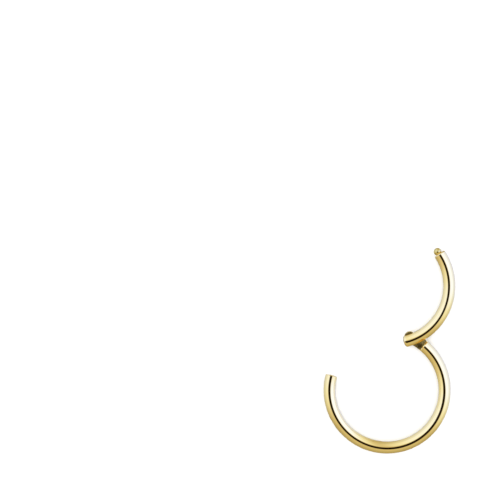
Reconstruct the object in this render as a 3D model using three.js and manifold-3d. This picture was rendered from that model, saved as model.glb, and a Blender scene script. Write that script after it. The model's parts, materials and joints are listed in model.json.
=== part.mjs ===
// Hinged segment nose ring: a round wire hoop closed by one segment that turns on a hidden pin.
// Millimetres, +Z up. The ring lies on its side: hoop centre at the origin, middle of the wire at z = 0.
import * as THREE from 'three';
import { mergeVertices } from 'three/addons/utils/BufferGeometryUtils.js';
import Module from 'manifold-3d';

const wasm = await Module();
wasm.setup();

// driving dimensions; angles are degrees round the ring, counter-clockwise from +X
const wireDiameter = 1.0;
const innerDiameter = 8.5;
const pivotAngle = 62.9;
const seamAngle = 165; // where the segment's free end meets the hoop's open end
const seamGap = 0.034;
const openAngle = 130.9; // how far the segment stands open at rest
const shoulderReach = 0.995; // pivot to the hoop's shoulder, along the wire
const slotReach = 0.98; // pivot to the bottom of the fork's slot, along the wire
const tongue = { thickness: 0.259, noseCentre: 0.32, noseRadius: 0.483 };
const fork = { slotWidth: 0.342, noseCentre: 0.055, noseRadius: 0.76 };
const pin = { radius: 0.17, length: 0.8, sideGap: 0.02, endGap: 0.02 };
// the ball's centre stands out from the segment's end face by reach, and off the wire's middle by inset
const ball = { radius: 0.32, reach: 0.21, inset: 0.04, socketGap: 0.015 };

// how finely the round shapes are cut
const wireSides = 24;
const degreesPerStep = 4;
const roundSides = 24;
const grooveSides = 16;
const mergeDistance = 1e-5;

const wireRadius = wireDiameter / 2;
const ringRadius = (innerDiameter + wireDiameter) / 2; // to the middle of the wire
const rad = THREE.MathUtils.degToRad;
const alongWire = (length) => THREE.MathUtils.radToDeg(length / ringRadius);

const pointAt = (angle, radius = ringRadius) =>
  new THREE.Vector3(radius * Math.cos(rad(angle)), radius * Math.sin(rad(angle)), 0);
const pivot = pointAt(pivotAngle);

// a flat arc round any centre
class FlatArc extends THREE.Curve {
  constructor(centre, radius, from, to) {
    super();
    Object.assign(this, { centre, radius, from, to });
  }

  getPoint(t, target = new THREE.Vector3()) {
    const angle = rad(this.from + (this.to - this.from) * t);
    return target
      .set(Math.cos(angle), Math.sin(angle), 0)
      .multiplyScalar(this.radius)
      .add(this.centre);
  }
}

// a closed three.js geometry as a solid that can be cut and joined
function solid(geometry) {
  const bare = geometry.clone();
  bare.deleteAttribute('normal');
  bare.deleteAttribute('uv');
  const merged = mergeVertices(bare, mergeDistance);
  return new wasm.Manifold(
    new wasm.Mesh({
      numProp: 3,
      vertProperties: new Float32Array(merged.attributes.position.array),
      triVerts: new Uint32Array(merged.index.array),
    }),
  );
}

function geometryOf(shape) {
  const mesh = shape.getMesh();
  const geometry = new THREE.BufferGeometry();
  geometry.setAttribute('position', new THREE.BufferAttribute(mesh.vertProperties, 3));
  geometry.setIndex(new THREE.BufferAttribute(mesh.triVerts, 1));
  return geometry;
}

// round rod of the given section swept along a flat arc
function sweptRod(arc, rodRadius, sides) {
  const section = new THREE.Shape().absarc(0, 0, rodRadius, 0, 2 * Math.PI);
  return new THREE.ExtrudeGeometry(section, {
    extrudePath: arc,
    steps: Math.max(2, Math.ceil(Math.abs(arc.to - arc.from) / degreesPerStep)),
    curveSegments: sides / 2,
  });
}

const wireArc = (from, to) =>
  solid(sweptRod(new FlatArc(new THREE.Vector3(), ringRadius, from, to), wireRadius, wireSides));

// moves a geometry whose +X runs along the wire to an angle on the ring; forward is the way round
function onWire(geometry, angle, forward) {
  const turn = new THREE.Matrix4().makeRotationZ(rad(angle) + (forward * Math.PI) / 2);
  const move = new THREE.Matrix4().setPosition(pointAt(angle));
  return geometry.applyMatrix4(move.multiply(turn));
}

// block from a plane across the wire onwards, between two heights
const blockReach = 3;
function blockBeyond(angle, forward, zLow, zHigh) {
  const block = new THREE.BoxGeometry(blockReach, blockReach, zHigh - zLow);
  block.translate(blockReach / 2, 0, (zLow + zHigh) / 2);
  return solid(onWire(block, angle, forward));
}

// what is cut away beyond a rounded nose: a block with a half disc left out of it
function noseCutter(centreAngle, forward, radius) {
  const outline = new THREE.Shape();
  outline.moveTo(0, -radius);
  outline.lineTo(0, -blockReach / 2);
  outline.lineTo(blockReach, -blockReach / 2);
  outline.lineTo(blockReach, blockReach / 2);
  outline.lineTo(0, blockReach / 2);
  outline.lineTo(0, radius);
  outline.absarc(0, 0, radius, Math.PI / 2, -Math.PI / 2, true);
  const block = new THREE.ExtrudeGeometry(outline, {
    depth: 2 * wireDiameter,
    bevelEnabled: false,
    curveSegments: roundSides / 2,
  });
  block.translate(0, 0, -wireDiameter);
  return solid(onWire(block, centreAngle, forward));
}

function uprightRod(radius, length) {
  const rod = new THREE.CylinderGeometry(radius, radius, length, roundSides);
  return rod.rotateX(Math.PI / 2);
}

const pinHole = () =>
  solid(
    uprightRod(pin.radius + pin.sideGap, pin.length + 2 * pin.endGap).translate(
      pivot.x,
      pivot.y,
      0,
    ),
  );

const seamHalf = alongWire(seamGap / 2);
const ballAngle = seamAngle - seamHalf + alongWire(ball.reach);
const ballCentre = pointAt(ballAngle, ringRadius - ball.inset); // with the ring closed
const overrun = 15; // degrees of spare wire under each nose, cut away again

// path of the ball as the segment closes, widened by its clearance: the catch's socket
const grooveSwing = 8; // degrees about the pivot, enough to run out of the hoop's open end
function catchSocket() {
  const fromPivot = ballCentre.clone().sub(pivot);
  const closed = THREE.MathUtils.radToDeg(Math.atan2(fromPivot.y, fromPivot.x));
  const radius = ball.radius + ball.socketGap;
  const groove = new FlatArc(pivot, fromPivot.length(), closed - grooveSwing, closed);
  const bottom = new THREE.SphereGeometry(radius, roundSides, roundSides / 2);
  bottom.rotateX(Math.PI / 2).translate(ballCentre.x, ballCentre.y, 0);
  return solid(sweptRod(groove, radius, grooveSides)).add(solid(bottom));
}

// the hoop: round wire from its open end round to a flat tongue at the hinge
function hoopGeometry() {
  const shoulder = pivotAngle - alongWire(shoulderReach);
  const noseCentre = pivotAngle + alongWire(tongue.noseCentre);
  const openEnd = seamAngle + seamHalf - 360;
  const half = tongue.thickness / 2;
  return geometryOf(
    wireArc(openEnd, pivotAngle + overrun)
      .subtract(noseCutter(noseCentre, 1, tongue.noseRadius))
      .subtract(blockBeyond(shoulder, 1, half, wireDiameter))
      .subtract(blockBeyond(shoulder, 1, -wireDiameter, -half))
      .subtract(pinHole())
      .subtract(catchSocket()),
  );
}

// the segment, drawn closed: a fork over the tongue, round wire, and the catch ball on its free end
function segmentGeometry() {
  const noseCentre = pivotAngle - alongWire(fork.noseCentre);
  const slotBottom = pivotAngle + alongWire(slotReach);
  const catchBall = new THREE.SphereGeometry(ball.radius, roundSides, roundSides / 2);
  catchBall.rotateX(Math.PI / 2).translate(ballCentre.x, ballCentre.y, 0);
  return geometryOf(
    wireArc(pivotAngle - overrun, seamAngle - seamHalf)
      .subtract(noseCutter(noseCentre, -1, fork.noseRadius))
      .subtract(blockBeyond(slotBottom, -1, -fork.slotWidth / 2, fork.slotWidth / 2))
      .subtract(pinHole())
      .add(solid(catchBall)),
  ).translate(-pivot.x, -pivot.y, 0);
}

const polishedGold = () =>
  new THREE.MeshStandardMaterial({ color: 0xe3c06a, roughness: 0.1, metalness: 1 });
const pinSteel = () =>
  new THREE.MeshStandardMaterial({ color: 0xb9a06a, roughness: 0.3, metalness: 1 });

function namedMesh(name, geometry, material) {
  const mesh = new THREE.Mesh(geometry, material);
  mesh.name = name;
  return mesh;
}

const hoop = namedMesh('hoop', hoopGeometry(), polishedGold());

// what turns on the hinge stands in its own group, placed at the pivot and swung open
const swing = new THREE.Group();
swing.position.copy(pivot);
swing.rotation.z = -rad(openAngle);
swing.add(namedMesh('hinged_segment', segmentGeometry(), polishedGold()));
swing.add(namedMesh('hinge_pin', uprightRod(pin.radius, pin.length), pinSteel()));

const noseRing = new THREE.Group();
noseRing.add(hoop, swing);

export default noseRing;
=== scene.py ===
import bpy
import bmesh
import json
import math
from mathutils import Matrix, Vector


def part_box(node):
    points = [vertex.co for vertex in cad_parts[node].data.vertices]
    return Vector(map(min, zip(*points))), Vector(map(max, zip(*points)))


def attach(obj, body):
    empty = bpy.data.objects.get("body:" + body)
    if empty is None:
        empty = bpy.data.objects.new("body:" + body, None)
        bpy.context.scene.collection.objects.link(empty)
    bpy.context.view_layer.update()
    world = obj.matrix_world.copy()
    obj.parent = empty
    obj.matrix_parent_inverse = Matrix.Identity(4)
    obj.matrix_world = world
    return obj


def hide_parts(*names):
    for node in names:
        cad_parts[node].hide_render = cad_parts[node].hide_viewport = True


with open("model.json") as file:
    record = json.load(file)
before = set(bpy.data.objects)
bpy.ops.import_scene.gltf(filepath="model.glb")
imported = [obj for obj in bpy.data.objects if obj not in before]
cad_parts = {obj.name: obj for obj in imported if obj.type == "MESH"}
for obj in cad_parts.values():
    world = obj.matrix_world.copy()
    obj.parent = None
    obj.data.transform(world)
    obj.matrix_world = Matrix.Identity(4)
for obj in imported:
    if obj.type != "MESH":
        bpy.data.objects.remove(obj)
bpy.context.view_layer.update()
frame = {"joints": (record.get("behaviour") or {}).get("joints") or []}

# Sizes below are in millimetres, because edit tools merge near points.
# Each piece is shrunk to metres when it is finished.
mm = 0.001

hinge = frame["joints"][0]
pivot = Vector(hinge["pos_m"]) / mm
pivotAngle = math.degrees(math.atan2(pivot.y, pivot.x))
closeAngle = hinge["range_deg"][1]          # from the open rest pose to shut
ringRadius = pivot.length                   # to the middle of the wire
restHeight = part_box("hoop")[1].z / mm       # of the wire's middle over the floor
hairsBreadth = 0.003                        # keeps the wire inside the CAD model
wireRadius = restHeight - hairsBreadth


# ---- camera and light ----

view = {
    "centre": (-12.16, 12.40),   # middle of the picture, on the ring's plane
    "width": 39.67,              # how much of that plane the picture takes in
    "lens": 200,
    "sensor": 36,
    "clipStart": 0.005,          # metres
    "clipEnd": 20,
}


def makeCamera():
    height = view["width"] * view["lens"] / view["sensor"]
    bpy.ops.object.camera_add(location=Vector((*view["centre"], height)) * mm)
    camera = bpy.context.object
    camera.name = "topCamera"
    camera.data.lens = view["lens"]
    camera.data.sensor_width = view["sensor"]
    camera.data.clip_start = view["clipStart"]
    camera.data.clip_end = view["clipEnd"]
    bpy.context.scene.camera = camera
    bpy.context.scene.view_settings.view_transform = "Standard"


makeCamera()
print("camera in place")

tent = {
    # what the walls send out, from their dimmest to their brightest part: the more light, the cooler
    "tones": (
        (0.00, (0.42, 0.36, 0.17)),
        (0.17, (0.50, 0.46, 0.27)),
        (0.30, (0.64, 0.62, 0.47)),
        (0.45, (0.75, 0.76, 0.68)),
        (0.58, (0.85, 0.92, 0.94)),
        (0.75, (0.95, 1.08, 1.30)),
        (0.88, (0.99, 1.20, 1.90)),
        (1.00, (1.03, 1.33, 2.80)),
    ),
    "brightest": 3.0,                # tones are stored as shares of this, because a ramp stops at 1
    "wallBelow": 0.31,               # how lit the cloth is towards -Y and towards +Y
    "wallAbove": 0.33,
    "wallSpread": 0.8,               # how far towards each side that change reaches
    "banks": (                       # two upright banks of lamps, placed by degrees round from +X
        {"azimuth": 16, "width": 65, "light": 0.70},
        {"azimuth": 146, "width": 77, "light": 0.57},
    ),
    "overhead": 0.3,                 # sine of the angle off the vertical inside which the banks fade out
    "skirt": 0.17,                   # share of the light lost low down
    "skirtWarmth": 0.04,
    "skirtTop": 0.5,                 # sine of the height where the skirt ends
    "underside": 0.22,               # share lost by the time the light comes from nearly straight below
    "undersideFrom": -0.1,
    "undersideTo": -0.85,
    "dome": 1.9,                     # even light on the floor
    "backdrop": 1.0,
}

# dark oval overhead, where the cloth is open for the lens
gap = {
    "offX": -3.5,                    # degrees off the vertical
    "offY": -13.0,
    "halfWidth": 18.3,
    "halfLength": 29.0,
    "turn": 60,                      # from +X to its short axis
    "edge": 0.1,
    "dark": 0.003,                   # share of the light that still comes through
    "glow": (0.016, 0.0082, 0.0),    # and the faint warm light added to it
}


def makeTent():
    world = bpy.data.worlds.new("lightTent")
    bpy.context.scene.world = world
    world.use_nodes = True
    world.cycles.sampling_method = "NONE"   # smooth light, which rays find by themselves
    nodes = world.node_tree.nodes
    links = world.node_tree.links
    nodes.clear()

    def mathNode(kind, first, second=0.0):
        node = nodes.new("ShaderNodeMath")
        node.operation = kind
        for socket, value in zip(node.inputs, (first, second)):
            if isinstance(value, (int, float)):
                socket.default_value = value
            else:
                links.new(value, socket)
        return node.outputs[0]

    def ease(value, low, high):                  # smooth step from 0 at low to 1 at high
        node = nodes.new("ShaderNodeMapRange")
        node.interpolation_type = "SMOOTHSTEP"
        links.new(value, node.inputs["Value"])
        node.inputs["From Min"].default_value = low
        node.inputs["From Max"].default_value = high
        return node.outputs[0]

    def twoProducts(first, second, third, fourth):      # the sum of first * second and third * fourth
        return mathNode("ADD", mathNode("MULTIPLY", first, second), mathNode("MULTIPLY", third, fourth))

    place = nodes.new("ShaderNodeTexCoord")
    split = nodes.new("ShaderNodeSeparateXYZ")
    links.new(place.outputs["Generated"], split.inputs[0])
    x, y, z = split.outputs

    # how lit the cloth is in each direction
    upwards = ease(y, -tent["wallSpread"], tent["wallSpread"])
    lit = twoProducts(upwards, tent["wallAbove"] - tent["wallBelow"], 1, tent["wallBelow"])
    level = mathNode("MAXIMUM", mathNode("SQRT", twoProducts(x, x, y, y)), tent["overhead"])
    for bank in tent["banks"]:
        turn = math.radians(bank["azimuth"])
        facing = mathNode("DIVIDE", twoProducts(x, math.cos(turn), y, math.sin(turn)), level)
        share = ease(facing, math.cos(math.radians(bank["width"])), 1.0)
        lit = twoProducts(lit, 1, share, bank["light"])
    low = mathNode("SUBTRACT", 1, ease(z, 0.0, tent["skirtTop"]))
    lit = twoProducts(lit, 1, low, -tent["skirtWarmth"])

    ramp = nodes.new("ShaderNodeValToRGB")
    stops = ramp.color_ramp.elements
    while len(stops) < len(tent["tones"]):
        stops.new(0.5)
    for stop, (position, tone) in zip(stops, tent["tones"]):
        stop.position = position
        stop.color = (*(channel / tent["brightest"] for channel in tone), 1)
    links.new(lit, ramp.inputs[0])

    # how far each direction is from the gap's middle, as shares of its half width and half length
    turn = math.radians(gap["turn"])
    offX = mathNode("SUBTRACT", mathNode("ARCTAN2", x, z), math.radians(gap["offX"]))
    offY = mathNode("SUBTRACT", mathNode("ARCTAN2", y, z), math.radians(gap["offY"]))
    sideways = twoProducts(offX, math.cos(turn), offY, math.sin(turn))
    sideways = mathNode("DIVIDE", sideways, math.radians(gap["halfWidth"]))
    lengthways = twoProducts(offX, -math.sin(turn), offY, math.cos(turn))
    lengthways = mathNode("DIVIDE", lengthways, math.radians(gap["halfLength"]))
    distance = mathNode("SQRT", twoProducts(sideways, sideways, lengthways, lengthways))
    outside = ease(distance, 1 - gap["edge"], 1 + gap["edge"])

    strength = twoProducts(outside, (1 - gap["dark"]) * tent["brightest"], 1, gap["dark"])
    strength = mathNode("MULTIPLY", strength, twoProducts(low, -tent["skirt"], 1, 1))
    below = ease(z, tent["undersideFrom"], tent["undersideTo"])
    strength = mathNode("MULTIPLY", strength, twoProducts(below, -tent["underside"], 1, 1))
    cloth = nodes.new("ShaderNodeVectorMath")
    cloth.operation = "SCALE"
    links.new(ramp.outputs["Color"], cloth.inputs[0])
    links.new(strength, cloth.inputs["Scale"])
    tentLight = nodes.new("ShaderNodeVectorMath")
    tentLight.operation = "ADD"
    links.new(cloth.outputs[0], tentLight.inputs[0])
    tentLight.inputs[1].default_value = gap["glow"]

    # metal sees the tent, the floor an even dome, and the camera a plain backdrop
    def background(tone):
        node = nodes.new("ShaderNodeBackground")
        if isinstance(tone, float):
            node.inputs["Color"].default_value = (tone, tone, tone, 1)
        else:
            links.new(tone, node.inputs["Color"])
        return node.outputs[0]

    def either(choice, first, second):
        node = nodes.new("ShaderNodeMixShader")
        links.new(choice, node.inputs[0])
        links.new(first, node.inputs[1])
        links.new(second, node.inputs[2])
        return node.outputs[0]

    ray = nodes.new("ShaderNodeLightPath")
    onThings = either(
        ray.outputs["Is Glossy Ray"], background(tent["dome"]), background(tentLight.outputs[0])
    )
    shown = either(ray.outputs["Is Camera Ray"], onThings, background(tent["backdrop"]))
    out = nodes.new("ShaderNodeOutputWorld")
    links.new(shown, out.inputs["Surface"])


makeTent()
print("light tent in place")


# ---- hand tools ----

near = 0.001                # how close two heights are when they count as the same


def clearSelection():
    if bpy.context.object and bpy.context.object.mode != "OBJECT":
        bpy.ops.object.mode_set(mode="OBJECT")
    bpy.ops.object.select_all(action="DESELECT")


def takeHold(piece):
    clearSelection()
    piece.select_set(True)
    bpy.context.view_layer.objects.active = piece


def startEdit(piece):
    takeHold(piece)
    bpy.ops.object.mode_set(mode="EDIT")
    bpy.ops.mesh.select_mode(type="FACE")
    bpy.ops.mesh.select_all(action="DESELECT")


def pick(piece, kind, test):
    # selects the verts, edges or faces for which test is true
    bpy.ops.mesh.select_mode(type=kind)
    bpy.ops.mesh.select_all(action="DESELECT")
    mesh = bmesh.from_edit_mesh(piece.data)
    mesh.normal_update()
    elements = {"VERT": mesh.verts, "EDGE": mesh.edges, "FACE": mesh.faces}[kind]
    for element in [e for e in elements if test(e)]:
        element.select_set(True)
    bmesh.update_edit_mesh(piece.data)


def turnPicked(angle, centre=(0, 0, 0)):
    # transform.rotate turns the other way with no window, hence the minus
    bpy.ops.transform.rotate(value=-math.radians(angle), orient_axis="Z", center_override=centre)


def turnPiece(piece, angle, centre=(0, 0, 0)):
    startEdit(piece)
    bpy.ops.mesh.select_all(action="SELECT")
    turnPicked(angle, centre)
    clearSelection()


def faceOutwards(piece):
    startEdit(piece)
    bpy.ops.mesh.select_all(action="SELECT")
    bpy.ops.mesh.normals_make_consistent(inside=False)
    bpy.ops.mesh.select_all(action="DESELECT")


def bevelPicked(width, segments=1):
    bpy.ops.mesh.bevel(offset=width, segments=segments, profile=0.5, affect="EDGES", clamp_overlap=False)


def cutOrJoin(piece, tool, operation):
    takeHold(piece)
    step = piece.modifiers.new(operation.lower(), "BOOLEAN")
    step.operation = operation
    step.solver = "EXACT"
    step.object = tool
    bpy.ops.object.modifier_apply(modifier=step.name)
    takeHold(tool)
    bpy.ops.object.delete()


def finishPiece(piece, smoothUnder):
    # settles the shading while faces are still large enough to be weighed, then shrinks the piece to metres
    takeHold(piece)
    bpy.ops.object.shade_smooth_by_angle(angle=math.radians(smoothUnder))
    even = piece.modifiers.new("evenNormals", "WEIGHTED_NORMAL")
    even.keep_sharp = True
    bpy.ops.object.modifier_apply(modifier=even.name)
    piece.scale = (mm, mm, mm)
    bpy.ops.object.transform_apply(location=True, rotation=True, scale=True)
    clearSelection()


def onRing(angle, radius=ringRadius):
    return Vector((radius * math.cos(math.radians(angle)), radius * math.sin(math.radians(angle)), 0))


def alongWire(length):
    return math.degrees(length / ringRadius)


# ---- wire ----

wire = {
    "sides": 72,        # 5 degrees a side, so that flats can start at any 5 degrees
    "step": 1.5,        # degrees round the ring for each row of faces
    "sameAngle": 0.02,  # degrees between points that count as one end
    "sharpOver": 35,    # degrees between the faces of an edge that counts as a rim
}
ahead = 90              # degrees round the ring where the wire runs straight along X


def sectionHeight(degrees):
    # height of the point on the wire's section that many degrees up from the ring's plane
    return wireRadius * math.sin(math.radians(degrees))


def ringAngle(point):
    return math.degrees(math.atan2(point.y, point.x))


def atAngle(angle):
    # test for whatever lies in the plane across the wire at that angle
    def test(element):
        points = [element.co] if isinstance(element, bmesh.types.BMVert) else [v.co for v in element.verts]
        offs = (ringAngle(point) - angle for point in points)
        return all(abs((off + 180) % 360 - 180) < wire["sameAngle"] for off in offs)
    return test


def extrudeRound(sweep):
    # carries the picked faces on round the ring, in even rows; spin counts clockwise
    steps = max(1, round(abs(sweep) / wire["step"]))
    bpy.ops.mesh.spin(steps=steps, angle=-math.radians(sweep), center=(0, 0, 0), axis=(0, 0, 1))


def roundWire(name, start, sweep):
    clearSelection()
    bpy.ops.mesh.primitive_circle_add(
        vertices=wire["sides"], radius=wireRadius, fill_type="NGON",
        location=(ringRadius, 0, 0), rotation=(math.radians(90), 0, 0),
    )
    piece = bpy.context.object
    piece.name = name
    piece.data.name = name
    bpy.ops.object.transform_apply(location=True, rotation=True, scale=True)
    turnPiece(piece, start)
    startEdit(piece)
    bpy.ops.mesh.select_all(action="SELECT")
    extrudeRound(sweep)
    faceOutwards(piece)
    return piece


def isRim(edge):
    # an edge where two faces meet sharply
    return len(edge.link_faces) == 2 and edge.calc_face_angle(0) > math.radians(wire["sharpOver"])


def splitCap(piece, angle, height):
    # draws two straight lines across the wire's end, that far above and below the middle
    onEnd = atAngle(angle)
    for level in (height, -height):
        pick(piece, "VERT", lambda v: onEnd(v) and abs(v.co.z - level) < near)
        bpy.ops.mesh.vert_connect()


def growNose(length, power, side, rows, lastAngle, floorHeight=0.0, topPower=0.0):
    # pushes the picked end straight out along X, in rows that narrow to a rounded nose and lower their tops
    done = 0.0
    lastWidth = 1.0
    lastTop = 1.0
    for row in range(1, rows + 1):
        angle = math.radians(lastAngle) * row / rows
        reach = length * math.sin(angle) ** (2 / power)
        width = math.cos(angle) ** (2 / power)
        top = math.cos(angle) ** topPower
        bpy.ops.mesh.extrude_region_move(TRANSFORM_OT_translate={"value": (side * (reach - done), 0, 0)})
        bpy.ops.transform.resize(
            value=(1, width / lastWidth, top / lastTop), center_override=(0, ringRadius, floorHeight)
        )
        done, lastWidth, lastTop = reach, width, top


# ---- hoop ----

hoop = {
    "openEnd": 165.2,         # degrees round the ring from +X
    "shoulder": 0.995,        # pivot to the shoulder, along the wire
    "tongueSection": 15,      # degrees up the wire's section where the flats start
    "noseCentre": 0.32,       # beyond the pivot
    "noseRadius": 0.483,
    "nosePower": 2,           # 2 is a half circle, more is squarer
    "noseRows": 9,
    "noseTip": 81,            # degrees of the quarter round built before the flat tip
    "shoulderBevel": 0.085,
    "openBevel": 0.035,
    "flatBevel": 0.022,
    "flatBevelRows": 2,
    "pastShoulder": 0.2,      # degrees beyond the shoulder where the bevel along the flats may start
}

catch = {
    "ballRadius": 0.32,
    "ballReach": 0.21,        # from the segment's end face
    "ballInset": 0.04,        # off the wire's middle, towards the ring's
    "socketGap": 0.015,
    "socketSwing": 8,         # degrees about the pivot that the ball needs on its way in
    "socketRows": 8,
    "segmentEnd": 164.8,      # degrees round the ring, with the ring closed
    "sides": 48,
}

pin = {
    "radius": 0.17,
    "length": 0.8,
    "sideGap": 0.02,
    "endGap": 0.02,
    "bevel": 0.03,
    "bevelRows": 3,
    "sides": 48,
}


def ballCentre():
    # with the ring closed
    return onRing(catch["segmentEnd"] + alongWire(catch["ballReach"]), ringRadius - catch["ballInset"])


def ballTool(centre, radius):
    clearSelection()
    bpy.ops.mesh.primitive_uv_sphere_add(
        segments=catch["sides"], ring_count=catch["sides"] // 2, radius=radius, location=centre
    )
    return bpy.context.object


def socketTool():
    # the ball's path about the pivot as the segment closes
    radius = catch["ballRadius"] + catch["socketGap"]
    centre = ballCentre()
    arm = centre - pivot
    clearSelection()
    bpy.ops.mesh.primitive_circle_add(
        vertices=catch["sides"], radius=radius, fill_type="NGON",
        location=centre, rotation=(math.radians(90), 0, math.atan2(arm.y, arm.x)),
    )
    groove = bpy.context.object
    bpy.ops.object.transform_apply(location=True, rotation=True, scale=True)
    startEdit(groove)
    bpy.ops.mesh.select_all(action="SELECT")
    bpy.ops.mesh.spin(
        steps=catch["socketRows"], angle=math.radians(catch["socketSwing"]),
        center=tuple(pivot), axis=(0, 0, 1),
    )
    faceOutwards(groove)
    clearSelection()
    cutOrJoin(groove, ballTool(centre, radius), "UNION")
    return groove


def pinHoleTool():
    clearSelection()
    bpy.ops.mesh.primitive_cylinder_add(
        vertices=pin["sides"], radius=pin["radius"] + pin["sideGap"],
        depth=pin["length"] + 2 * pin["endGap"], location=pivot,
    )
    return bpy.context.object


def makeHoop():
    noseAngle = pivotAngle + alongWire(hoop["noseCentre"])
    turned = ahead - noseAngle                  # for now, so that the nose points straight along -X
    shoulder = pivotAngle - alongWire(hoop["shoulder"]) + turned
    start = hoop["openEnd"] - 360 + turned
    piece = roundWire("goldHoop", start, shoulder - start)
    half = sectionHeight(hoop["tongueSection"])
    splitCap(piece, shoulder, half)
    onShoulder = atAngle(shoulder)
    pick(piece, "FACE", lambda f: onShoulder(f) and abs(f.calc_center_median().z) < near)
    extrudeRound(ahead - shoulder)
    onNose = atAngle(ahead)
    pick(piece, "FACE", onNose)
    growNose(hoop["noseRadius"], hoop["nosePower"], -1, hoop["noseRows"], hoop["noseTip"])
    faceOutwards(piece)

    # break the edges: the shoulder's rim, the tongue's two flats and the open end's rim
    def aboveFlats(edge):
        return any(abs(v.co.z) > half + near for v in edge.verts)

    pick(piece, "EDGE", lambda e: isRim(e) and onShoulder(e) and aboveFlats(e))
    bevelPicked(hoop["shoulderBevel"])
    flatsFrom = shoulder + hoop["pastShoulder"]
    pick(piece, "EDGE", lambda e: isRim(e) and all(ringAngle(v.co) > flatsFrom for v in e.verts))
    bevelPicked(hoop["flatBevel"], hoop["flatBevelRows"])
    onOpenEnd = atAngle(start)
    pick(piece, "EDGE", lambda e: isRim(e) and onOpenEnd(e))
    bevelPicked(hoop["openBevel"])
    clearSelection()
    turnPiece(piece, -turned)
    cutOrJoin(piece, socketTool(), "DIFFERENCE")
    cutOrJoin(piece, pinHoleTool(), "DIFFERENCE")
    print("hoop shaped")
    return piece


goldHoop = makeHoop()


# ---- hinged segment ----

segment = {
    "slotEnd": 0.98,          # pivot to the slot's bottom, along the wire
    "slotSection": 20,        # degrees up the wire's section where the cheeks start
    "noseStart": 0.55,        # beyond the pivot, where the cheeks begin to narrow
    "noseLength": 0.265,
    "nosePower": 3,
    "noseRows": 14,
    "noseTip": 86,
    "topPower": 0.15,         # how soon the nose's top comes down
    "endBevel": 0.075,
}


def makeSegment():
    noseAngle = pivotAngle - alongWire(segment["noseStart"])
    turned = ahead - noseAngle                  # for now, so that the cheeks point straight along +X
    slotEnd = pivotAngle + alongWire(segment["slotEnd"]) + turned
    start = catch["segmentEnd"] + turned
    piece = roundWire("goldSegment", start, slotEnd - start)
    half = sectionHeight(segment["slotSection"])
    splitCap(piece, slotEnd, half)
    onSlot = atAngle(slotEnd)
    onNose = atAngle(ahead)
    for side in (1, -1):
        pick(piece, "FACE", lambda f: onSlot(f) and f.calc_center_median().z * side > half)
        extrudeRound(ahead - slotEnd)
        pick(piece, "FACE", lambda f: onNose(f) and f.calc_center_median().z * side > half)
        growNose(
            segment["noseLength"], segment["nosePower"], 1, segment["noseRows"], segment["noseTip"],
            side * half, segment["topPower"],
        )
    faceOutwards(piece)
    onEnd = atAngle(start)
    pick(piece, "EDGE", lambda e: isRim(e) and onEnd(e))
    bevelPicked(segment["endBevel"])
    clearSelection()
    turnPiece(piece, -turned)
    cutOrJoin(piece, ballTool(ballCentre(), catch["ballRadius"]), "UNION")
    cutOrJoin(piece, pinHoleTool(), "DIFFERENCE")
    turnPiece(piece, -closeAngle, pivot)        # stands open
    print("segment shaped")
    return piece


goldSegment = makeSegment()


# ---- pin ----

def makePin():
    clearSelection()
    bpy.ops.mesh.primitive_cylinder_add(
        vertices=pin["sides"], radius=pin["radius"], depth=pin["length"], location=pivot
    )
    piece = bpy.context.object
    piece.name = "steelPin"
    bpy.ops.object.transform_apply(location=True, rotation=True, scale=True)
    startEdit(piece)
    pick(piece, "EDGE", lambda e: abs(e.verts[0].co.z - e.verts[1].co.z) < near)
    bevelPicked(pin["bevel"], pin["bevelRows"])
    clearSelection()
    print("pin shaped")
    return piece


steelPin = makePin()


# ---- finishing ----

finish = {
    "mergeWithin": 0.0008,
    "smoothUnder": 32,        # degrees between faces that are shaded as one
}

for piece in (goldHoop, goldSegment, steelPin):
    startEdit(piece)
    bpy.ops.mesh.select_all(action="SELECT")
    bpy.ops.mesh.remove_doubles(threshold=finish["mergeWithin"])
    faceOutwards(piece)
    finishPiece(piece, finish["smoothUnder"])


# ---- looks ----

def newGroup(name, inputs, outputs):
    group = bpy.data.node_groups.new(name, "ShaderNodeTree")
    for label, kind, value in inputs:
        socket = group.interface.new_socket(name=label, in_out="INPUT", socket_type=kind)
        if value is not None:
            socket.default_value = value
    for label, kind in outputs:
        group.interface.new_socket(name=label, in_out="OUTPUT", socket_type=kind)
    return group, group.nodes.new("NodeGroupInput"), group.nodes.new("NodeGroupOutput")


haze = {
    "detail": 3,
    "roughness": 0.55,
    "low": 0.35,              # noise below this is fully bright, above the next fully dull
    "high": 0.7,
}


def makePolishHaze():
    # soft patches where the mitt left the gloss a little duller
    group, enter, leave = newGroup(
        "polishHaze",
        [("Vector", "NodeSocketVector", None), ("Scale", "NodeSocketFloat", 0.7),
         ("Bright", "NodeSocketFloat", 0.06), ("Dull", "NodeSocketFloat", 0.14)],
        [("Roughness", "NodeSocketFloat")],
    )
    noise = group.nodes.new("ShaderNodeTexNoise")
    noise.inputs["Detail"].default_value = haze["detail"]
    noise.inputs["Roughness"].default_value = haze["roughness"]
    spread = group.nodes.new("ShaderNodeMapRange")
    spread.interpolation_type = "SMOOTHSTEP"
    spread.inputs["From Min"].default_value = haze["low"]
    spread.inputs["From Max"].default_value = haze["high"]
    gloss = group.nodes.new("ShaderNodeMix")
    group.links.new(enter.outputs["Vector"], noise.inputs["Vector"])
    group.links.new(enter.outputs["Scale"], noise.inputs["Scale"])
    group.links.new(noise.outputs["Fac"], spread.inputs["Value"])
    group.links.new(spread.outputs["Result"], gloss.inputs["Factor"])
    group.links.new(enter.outputs["Bright"], gloss.inputs["A"])
    group.links.new(enter.outputs["Dull"], gloss.inputs["B"])
    group.links.new(gloss.outputs["Result"], leave.inputs["Roughness"])
    return group


lineNoise = {
    "detail": 2,
    "roughness": 0.6,
}


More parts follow.
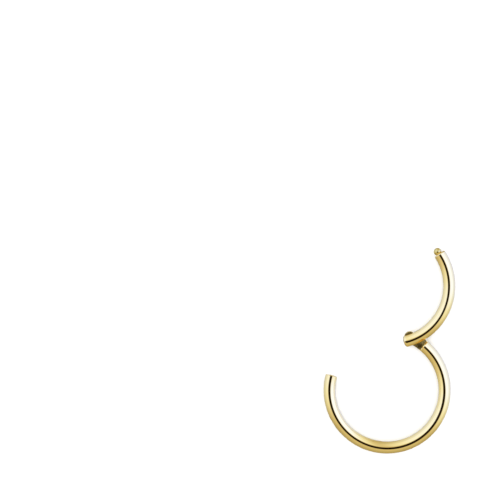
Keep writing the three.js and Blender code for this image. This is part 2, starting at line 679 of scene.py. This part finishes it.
def makeHairlines():
    # fine lines left by polishing or by a cutter, along one direction of the vector
    group, enter, leave = newGroup(
        "hairlines",
        [("Vector", "NodeSocketVector", None), ("Scale", "NodeSocketFloat", 8.0),
         ("Stretch", "NodeSocketVector", (1.0, 0.06, 1.0))],
        [("Height", "NodeSocketFloat")],
    )
    stretch = group.nodes.new("ShaderNodeVectorMath")
    stretch.operation = "MULTIPLY"
    noise = group.nodes.new("ShaderNodeTexNoise")
    noise.inputs["Detail"].default_value = lineNoise["detail"]
    noise.inputs["Roughness"].default_value = lineNoise["roughness"]
    group.links.new(enter.outputs["Vector"], stretch.inputs[0])
    group.links.new(enter.outputs["Stretch"], stretch.inputs[1])
    group.links.new(stretch.outputs[0], noise.inputs["Vector"])
    group.links.new(enter.outputs["Scale"], noise.inputs["Scale"])
    group.links.new(noise.outputs["Fac"], leave.inputs["Height"])
    return group


toneDetail = 2


def makeMetalTone():
    # the metal's colour, a little deeper in places
    group, enter, leave = newGroup(
        "metalTone",
        [("Vector", "NodeSocketVector", None), ("Scale", "NodeSocketFloat", 0.5),
         ("Light", "NodeSocketColor", (1, 1, 1, 1)), ("Deep", "NodeSocketColor", (1, 1, 1, 1))],
        [("Color", "NodeSocketColor")],
    )
    noise = group.nodes.new("ShaderNodeTexNoise")
    noise.inputs["Detail"].default_value = toneDetail
    blend = group.nodes.new("ShaderNodeMix")
    blend.data_type = "RGBA"
    group.links.new(enter.outputs["Vector"], noise.inputs["Vector"])
    group.links.new(enter.outputs["Scale"], noise.inputs["Scale"])
    group.links.new(noise.outputs["Fac"], blend.inputs["Factor"])
    group.links.new(enter.outputs["Light"], blend.inputs["A"])
    group.links.new(enter.outputs["Deep"], blend.inputs["B"])
    group.links.new(blend.outputs["Result"], leave.inputs["Color"])
    return group


polishHaze = makePolishHaze()
hairlines = makeHairlines()
metalTone = makeMetalTone()


def addGroup(material, group, values):
    node = material.node_tree.nodes.new("ShaderNodeGroup")
    node.node_tree = group
    for label, value in values.items():
        node.inputs[label].default_value = value
    return node


def metal(name, look):
    # scales are per millimetre
    material = bpy.data.materials.new(name)
    material.use_nodes = True
    nodes = material.node_tree.nodes
    links = material.node_tree.links
    shader = nodes["Principled BSDF"]
    shader.inputs["Metallic"].default_value = 1
    shader.inputs["Specular Tint"].default_value = (*look["edgeTint"], 1)
    place = nodes.new("ShaderNodeTexCoord")
    inMm = nodes.new("ShaderNodeMapping")
    inMm.inputs["Scale"].default_value = (1 / mm, 1 / mm, 1 / mm)
    inMm.inputs["Rotation"].default_value = (0, 0, math.radians(look["grainAngle"]))
    links.new(place.outputs["Object"], inMm.inputs["Vector"])
    tone = addGroup(material, metalTone, {
        "Scale": look["toneScale"], "Light": (*look["light"], 1), "Deep": (*look["deep"], 1),
    })
    gloss = addGroup(material, polishHaze, {
        "Scale": look["hazeScale"], "Bright": look["bright"], "Dull": look["dull"],
    })
    lines = addGroup(material, hairlines, {
        "Scale": look["lineScale"], "Stretch": look["lineStretch"],
    })
    bump = nodes.new("ShaderNodeBump")
    bump.inputs["Strength"].default_value = look["lineStrength"]
    bump.inputs["Distance"].default_value = look["lineDepth"] * mm
    for node in (tone, gloss, lines):
        links.new(inMm.outputs["Vector"], node.inputs["Vector"])
    links.new(tone.outputs["Color"], shader.inputs["Base Color"])
    links.new(gloss.outputs["Roughness"], shader.inputs["Roughness"])
    links.new(lines.outputs["Height"], bump.inputs["Height"])
    links.new(bump.outputs["Normal"], shader.inputs["Normal"])
    return material


polishedGold = metal("polishedGold", {
    "light": (1.0, 0.76, 0.33),
    "deep": (0.98, 0.73, 0.29),
    "edgeTint": (1.0, 0.97, 0.88),
    "toneScale": 0.4,
    "hazeScale": 0.9,
    "bright": 0.01,
    "dull": 0.035,
    "grainAngle": 20,
    "lineScale": 9.0,
    "lineStretch": (1.0, 0.05, 1.0),
    "lineStrength": 0.08,
    "lineDepth": 0.003,
})
# flats of the tongue and slot: duller and marked with cutter lines, with a darker, more olive base colour
# than the polished gold, which is painted shade for the hinge's recess
cutGoldWithPaintedShade = metal("cutGoldWithPaintedShade", {
    "light": (0.76, 0.54, 0.15),
    "deep": (0.60, 0.41, 0.10),
    "edgeTint": (1.0, 0.95, 0.85),
    "toneScale": 1.5,
    "hazeScale": 2.2,
    "bright": 0.16,
    "dull": 0.28,
    "grainAngle": -25,
    "lineScale": 14.0,
    "lineStretch": (1.0, 0.04, 1.0),
    "lineStrength": 0.5,
    "lineDepth": 0.006,
})
# the catch ball: same gold as the segment but with a darker base colour, which is painted shade that
# outlines the ball
ballGoldWithPaintedShade = metal("ballGoldWithPaintedShade", {
    "light": (0.82, 0.62, 0.22),
    "deep": (0.66, 0.48, 0.14),
    "edgeTint": (0.95, 0.88, 0.70),
    "toneScale": 1.5,
    "hazeScale": 2.2,
    "bright": 0.05,
    "dull": 0.12,
    "grainAngle": 10,
    "lineScale": 12.0,
    "lineStretch": (1.0, 0.1, 1.0),
    "lineStrength": 0.2,
    "lineDepth": 0.004,
})
pinSteel = metal("pinSteel", {
    "light": (0.62, 0.60, 0.57),
    "deep": (0.50, 0.48, 0.45),
    "edgeTint": (1.0, 1.0, 1.0),
    "toneScale": 3.0,
    "hazeScale": 3.0,
    "bright": 0.22,
    "dull": 0.36,
    "grainAngle": 0,
    "lineScale": 10.0,
    "lineStretch": (0.2, 0.2, 1.6),
    "lineStrength": 0.4,
    "lineDepth": 0.005,
})


def paintFaces(piece, material, test):
    # gives the faces for which test is true their own material
    piece.data.materials.append(material)
    startEdit(piece)
    pick(piece, "FACE", test)
    piece.active_material_index = len(piece.data.materials) - 1
    bpy.ops.object.material_slot_assign()
    clearSelection()


paint = {
    "levelOver": 0.999,       # upright share of a level face's normal
    "within": 0.004,          # how far a face may be from its height or from the ball's surface
}


def isLevelAt(height):
    # test for the level faces that a cutter left that far above and below the middle
    def test(face):
        off = abs(face.calc_center_median().z) / mm - height
        return abs(face.normal.z) > paint["levelOver"] and abs(off) < paint["within"]
    return test


def isRoundAbout(centre, radius):
    # test for the faces of a ball
    def test(face):
        return all(abs((v.co / mm - centre).length - radius) < paint["within"] for v in face.verts)
    return test


def openBallCentre():
    # where the ball is with the segment standing open
    arm = ballCentre() - pivot
    angle = math.atan2(arm.y, arm.x) - math.radians(closeAngle)
    return pivot + arm.length * Vector((math.cos(angle), math.sin(angle), 0))


goldHoop.data.materials.append(polishedGold)
goldSegment.data.materials.append(polishedGold)
steelPin.data.materials.append(pinSteel)
# the flats between the hinge's parts get the cut gold, whose darker base colour is painted shade
paintFaces(goldHoop, cutGoldWithPaintedShade, isLevelAt(sectionHeight(hoop["tongueSection"])))
paintFaces(goldSegment, cutGoldWithPaintedShade, isLevelAt(sectionHeight(segment["slotSection"])))
# the ball gets its darker gold, painted shade round its outline
paintFaces(goldSegment, ballGoldWithPaintedShade, isRoundAbout(openBallCentre(), catch["ballRadius"]))
print("looks in place")


# ---- floor ----

floorLook = {
    "size": 1.0,          # metres
    "tone": (0.8, 0.8, 0.8),
    "roughness": 0.6,
}


def makeFloor():
    clearSelection()
    bpy.ops.mesh.primitive_plane_add(size=floorLook["size"], location=(0, 0, -restHeight * mm))
    floor = bpy.context.object
    floor.name = "floor"
    floor.visible_glossy = False        # the metal sees the tent all round instead
    material = bpy.data.materials.new("paleFloor")
    material.use_nodes = True
    shader = material.node_tree.nodes["Principled BSDF"]
    shader.inputs["Base Color"].default_value = (*floorLook["tone"], 1)
    shader.inputs["Roughness"].default_value = floorLook["roughness"]
    floor.data.materials.append(material)
    return floor


makeFloor()
print("floor in place")


# ---- ties to the frame ----

for piece, body, node, slot in (
    (goldHoop, "hoop_body", "hoop", "polished_gold"),
    (goldSegment, "segment_body", "hinged_segment", "polished_gold"),
    (steelPin, "segment_body", "hinge_pin", "pin_steel"),
):
    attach(piece, body)
    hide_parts(node)
